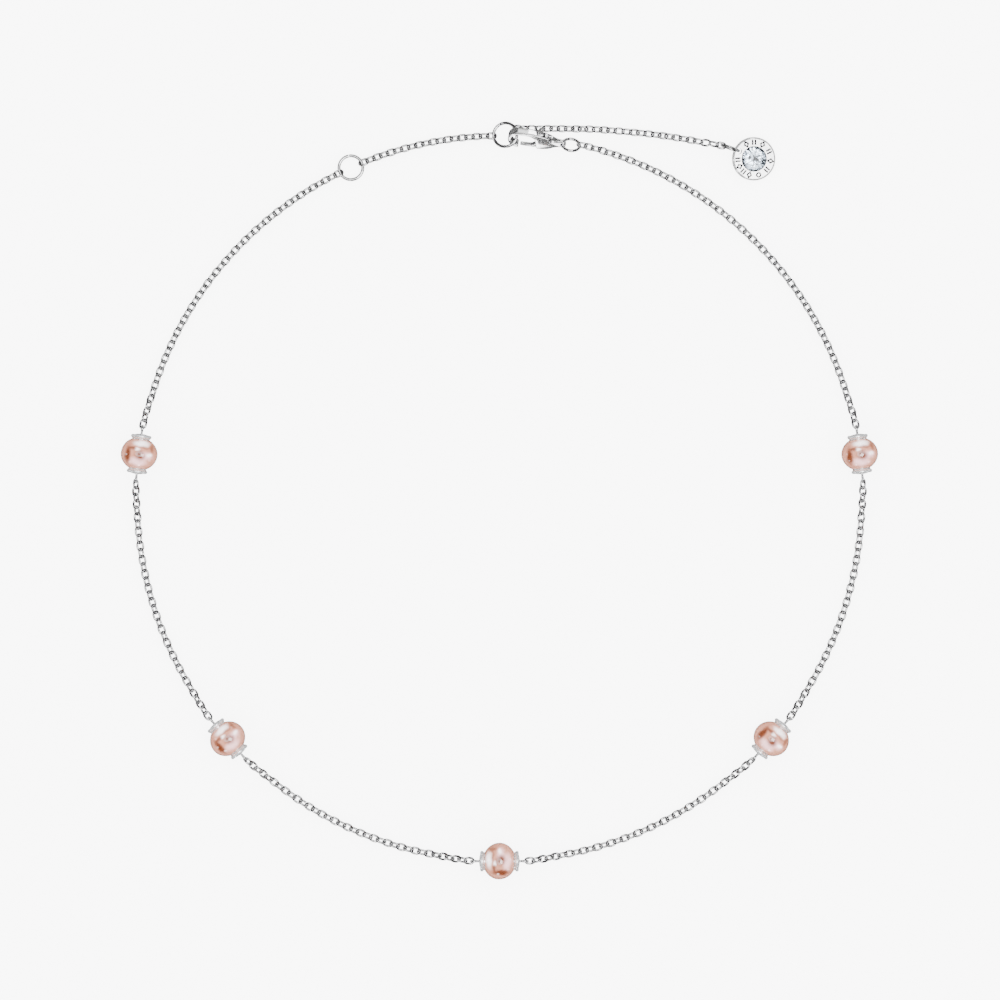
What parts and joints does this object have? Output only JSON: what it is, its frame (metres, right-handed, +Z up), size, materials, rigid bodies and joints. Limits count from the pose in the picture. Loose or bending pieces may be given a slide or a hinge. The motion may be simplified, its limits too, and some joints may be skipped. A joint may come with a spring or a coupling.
{
  "type": "pearl station necklace",
  "caption": "Cable-chain necklace with capped pearl stations, a lobster clasp, a jump ring for a shorter length, and an extender ending in a round tag set with a clear stone.",
  "frame": {"origin": "centre of the fastened loop, on the surface the necklace lies on", "axes": "+Y from the front pearl towards the clasp, +X to the side the extender lies on, +Z up out of the surface"},
  "size_m": [0.1426, 0.143, 0.007],
  "materials": {
    "chain_silver": "polished",
    "cap_silver": "polished",
    "pin_silver": "polished",
    "ring_silver": "polished",
    "clasp_silver": "polished",
    "tag_silver": "polished",
    "spring_steel": "drawn wire",
    "pearl": "pink nacre, high lustre",
    "clear_stone": "cut and polished"
  },
  "bodies": {
    "back_chain": {"chain_back": "chain_silver", "chain_side_left_upper": "chain_silver", "chain_side_right_upper": "chain_silver"},
    "jump_ring_1": {"jump_ring_1": "ring_silver"},
    "jump_ring_2": {"jump_ring_2": "ring_silver"},
    "clasp": {"clasp_body": "clasp_silver", "clasp_rivet": "spring_steel", "lever_spring": "spring_steel"},
    "clasp_lever": {"clasp_lever": "clasp_silver"},
    "clasp_ring": {"clasp_ring": "ring_silver"},
    "extender_1": {"extender_1": "chain_silver"},
    "extender_2": {"extender_2": "chain_silver"},
    "extender_3": {"extender_3": "chain_silver"},
    "extender_4": {"extender_4": "chain_silver"},
    "tag_ring": {"tag_ring": "ring_silver"},
    "tag": {"tag_disc": "tag_silver", "tag_stone": "clear_stone"},
    "side_chain": {"chain_side_left_lower": "chain_silver", "chain_side_right_lower": "chain_silver"},
    "outer_pins": {"eye_pin_1": "pin_silver", "eye_pin_5": "pin_silver"},
    "inner_pins": {"eye_pin_2": "pin_silver", "eye_pin_4": "pin_silver"},
    "mid_chain_back": {"chain_mid_left_upper": "chain_silver", "chain_mid_right_upper": "chain_silver"},
    "mid_chain_front": {"chain_mid_left_lower": "chain_silver", "chain_mid_right_lower": "chain_silver"},
    "front_chain_back": {"chain_front_left_upper": "chain_silver", "chain_front_right_upper": "chain_silver"},
    "front": {"chain_front_left_lower": "chain_silver", "chain_front_right_lower": "chain_silver", "eye_pin_3": "pin_silver"},
    "pearl_1": {"pearl_1": "pearl", "cap_1a": "cap_silver", "cap_1b": "cap_silver"},
    "pearl_2": {"pearl_2": "pearl", "cap_2a": "cap_silver", "cap_2b": "cap_silver"},
    "pearl_3": {"pearl_3": "pearl", "cap_3a": "cap_silver", "cap_3b": "cap_silver"},
    "pearl_4": {"pearl_4": "pearl", "cap_4a": "cap_silver", "cap_4b": "cap_silver"},
    "pearl_5": {"pearl_5": "pearl", "cap_5a": "cap_silver", "cap_5b": "cap_silver"}
  },
  "joints": [
    {"name": "fold_side", "type": "hinge", "parent": "back_chain", "child": "side_chain", "pos_m": [0, 0.04003, 0.00073], "axis": [-1, 0, 0], "range_deg": [-75, 75]},
    {"name": "fold_outer_eyes_back", "type": "hinge", "parent": "side_chain", "child": "outer_pins", "pos_m": [0, 0.01305, 0.0035], "axis": [1, 0, 0], "range_deg": [-60, 60]},
    {"name": "fold_outer_eyes_front", "type": "hinge", "parent": "outer_pins", "child": "mid_chain_back", "pos_m": [0, 0.00363, 0.0035], "axis": [-1, 0, 0], "range_deg": [-60, 60]},
    {"name": "fold_mid", "type": "hinge", "parent": "mid_chain_back", "child": "mid_chain_front", "pos_m": [0, -0.02029, 0.00073], "axis": [1, 0, 0], "range_deg": [-75, 75]},
    {"name": "fold_inner_eyes_back", "type": "hinge", "parent": "mid_chain_front", "child": "inner_pins", "pos_m": [0, -0.04179, 0.0035], "axis": [-1, 0, 0], "range_deg": [-60, 60]},
    {"name": "fold_inner_eyes_front", "type": "hinge", "parent": "inner_pins", "child": "front_chain_back", "pos_m": [0, -0.0489, 0.0035], "axis": [1, 0, 0], "range_deg": [-60, 60]},
    {"name": "fold_front", "type": "hinge", "parent": "front_chain_back", "child": "front", "pos_m": [0, -0.05866, 0.00073], "axis": [-1, 0, 0], "range_deg": [-30, 30]},
    {"name": "pearl_1_spin", "type": "hinge", "parent": "outer_pins", "child": "pearl_1", "pos_m": [-0.06792, 0.00834, 0.0035], "axis": [-0.1219, -0.9925, 0], "continuous": true},
    {"name": "pearl_2_spin", "type": "hinge", "parent": "inner_pins", "child": "pearl_2", "pos_m": [-0.05125, -0.04534, 0.0035], "axis": [0.6626, -0.749, 0], "continuous": true},
    {"name": "pearl_3_spin", "type": "hinge", "parent": "front", "child": "pearl_3", "pos_m": [0, -0.06843, 0.0035], "axis": [1, 0, 0], "continuous": true},
    {"name": "pearl_4_spin", "type": "hinge", "parent": "inner_pins", "child": "pearl_4", "pos_m": [0.05125, -0.04534, 0.0035], "axis": [0.6626, 0.749, 0], "continuous": true},
    {"name": "pearl_5_spin", "type": "hinge", "parent": "outer_pins", "child": "pearl_5", "pos_m": [0.06792, 0.00834, 0.0035], "axis": [-0.1219, 0.9925, 0], "continuous": true},
    {"name": "jump_ring_1_spin", "type": "hinge", "parent": "back_chain", "child": "jump_ring_1", "pos_m": [-0.02805, 0.06242, 0.00073], "axis": [0, 0, 1], "continuous": true},
    {"name": "jump_ring_2_spin", "type": "hinge", "parent": "back_chain", "child": "jump_ring_2", "pos_m": [0.0011, 0.0686, 0.00147], "axis": [-0.2068, 0.1023, 0.973], "continuous": true},
    {"name": "clasp_roll", "type": "hinge", "parent": "back_chain", "child": "clasp", "pos_m": [0.00166, 0.06843, 0.00185], "axis": [0.9893, -0.1461, 0], "range_deg": [0, 30]},
    {"name": "lever", "type": "hinge", "parent": "clasp", "child": "clasp_lever", "pos_m": [0.00791, 0.06765, 0.00199], "axis": [0.1033, 0.6995, -0.7071], "range_deg": [0, 20], "stiffness_Nm_per_rad": 0.004, "springref_deg": -20.05},
    {"name": "clasp_ring_spin", "type": "hinge", "parent": "clasp", "child": "clasp_ring", "pos_m": [0.01351, 0.06668, 0.00185], "axis": [-0.1033, -0.6995, -0.7071], "continuous": true},
    {"name": "extender_swing", "type": "hinge", "parent": "back_chain", "child": "extender_1", "pos_m": [0.0032, 0.0698, 0.00073], "axis": [0, 0, 1], "range_deg": [0, 60]},
    {"name": "extender_lift_2", "type": "hinge", "parent": "extender_1", "child": "extender_2", "pos_m": [0.01385, 0.06975, 0.00073], "axis": [-0.0179, -0.9998, 0], "range_deg": [-60, 60]},
    {"name": "extender_bend_3", "type": "hinge", "parent": "extender_2", "child": "extender_3", "pos_m": [0.02333, 0.06926, 0.00073], "axis": [0, 0, 1], "range_deg": [-15, 45]},
    {"name": "extender_lift_4", "type": "hinge", "parent": "extender_3", "child": "extender_4", "pos_m": [0.03279, 0.06817, 0.00073], "axis": [0.15, 0.9887, 0], "range_deg": [-60, 60]},
    {"name": "tag_ring_roll", "type": "hinge", "parent": "extender_4", "child": "tag_ring", "pos_m": [0.04192, 0.06666, 0.00202], "axis": [0.9455, -0.3256, 0], "range_deg": [-45, 45]},
    {"name": "tag_swing", "type": "hinge", "parent": "tag_ring", "child": "tag", "pos_m": [0.04355, 0.0661, 0.00202], "axis": [-0.3256, -0.9455, 0], "range_deg": [-60, 75]}
  ]
}
